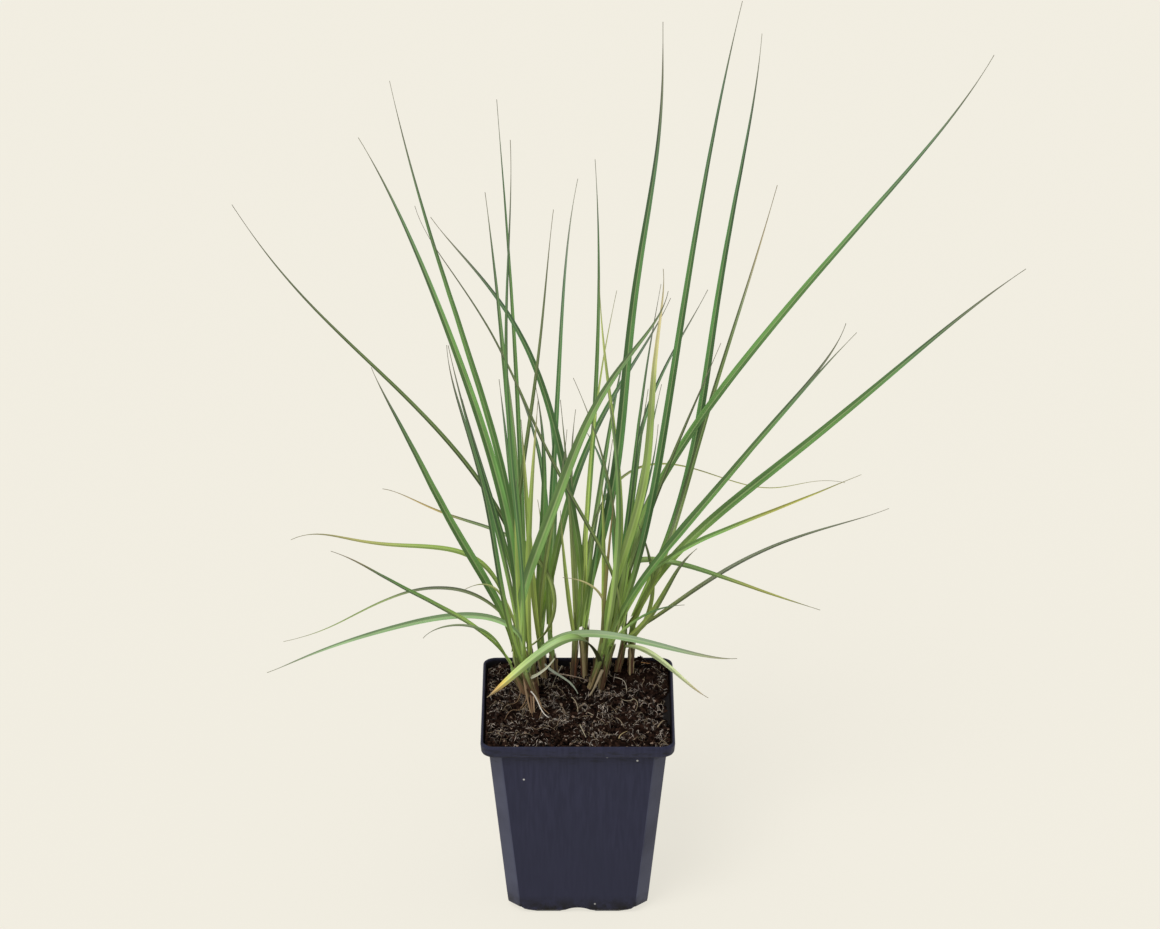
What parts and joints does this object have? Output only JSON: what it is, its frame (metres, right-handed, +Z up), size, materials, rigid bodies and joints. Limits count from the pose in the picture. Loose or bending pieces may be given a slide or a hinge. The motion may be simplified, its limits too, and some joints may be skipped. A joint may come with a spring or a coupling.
{
  "type": "potted ornamental grass",
  "caption": "Young moor grass with long narrow arching leaves in tufts, growing from soil in a square tapered nursery pot with a collar at the rim.",
  "frame": {"origin": "centre of the foot under the middle of the pot, on the surface that the pot stands on", "axes": "+Z up, +X to the right and -Y toward the viewer when the pot is seen from its front"},
  "size_m": [0.3614, 0.2855, 0.4451],
  "materials": {
    "pot_plastic": "satin anthracite moulded plastic",
    "soil_mix": "damp fibrous potting soil",
    "grass_leaf": "satin green leaf"
  },
  "bodies": {
    "root": {"pot": "pot_plastic", "soil": "soil_mix", "stem_left_1": "grass_leaf", "stem_left_2": "grass_leaf", "stem_left_3": "grass_leaf", "stem_left_4": "grass_leaf", "stem_left_5": "grass_leaf", "stem_left_6": "grass_leaf", "stem_left_7": "grass_leaf", "stem_left_8": "grass_leaf", "stem_rear_1": "grass_leaf", "stem_rear_2": "grass_leaf", "stem_rear_3": "grass_leaf", "stem_middle_1": "grass_leaf", "stem_middle_2": "grass_leaf", "stem_middle_3": "grass_leaf", "stem_middle_4": "grass_leaf", "stem_centre_1": "grass_leaf", "stem_centre_2": "grass_leaf", "stem_centre_3": "grass_leaf", "stem_centre_4": "grass_leaf", "stem_centre_5": "grass_leaf", "stem_centre_6": "grass_leaf", "stem_right_1": "grass_leaf", "stem_right_2": "grass_leaf", "stem_right_3": "grass_leaf", "stem_right_4": "grass_leaf", "stem_right_5": "grass_leaf"}
  },
  "joints": []
}
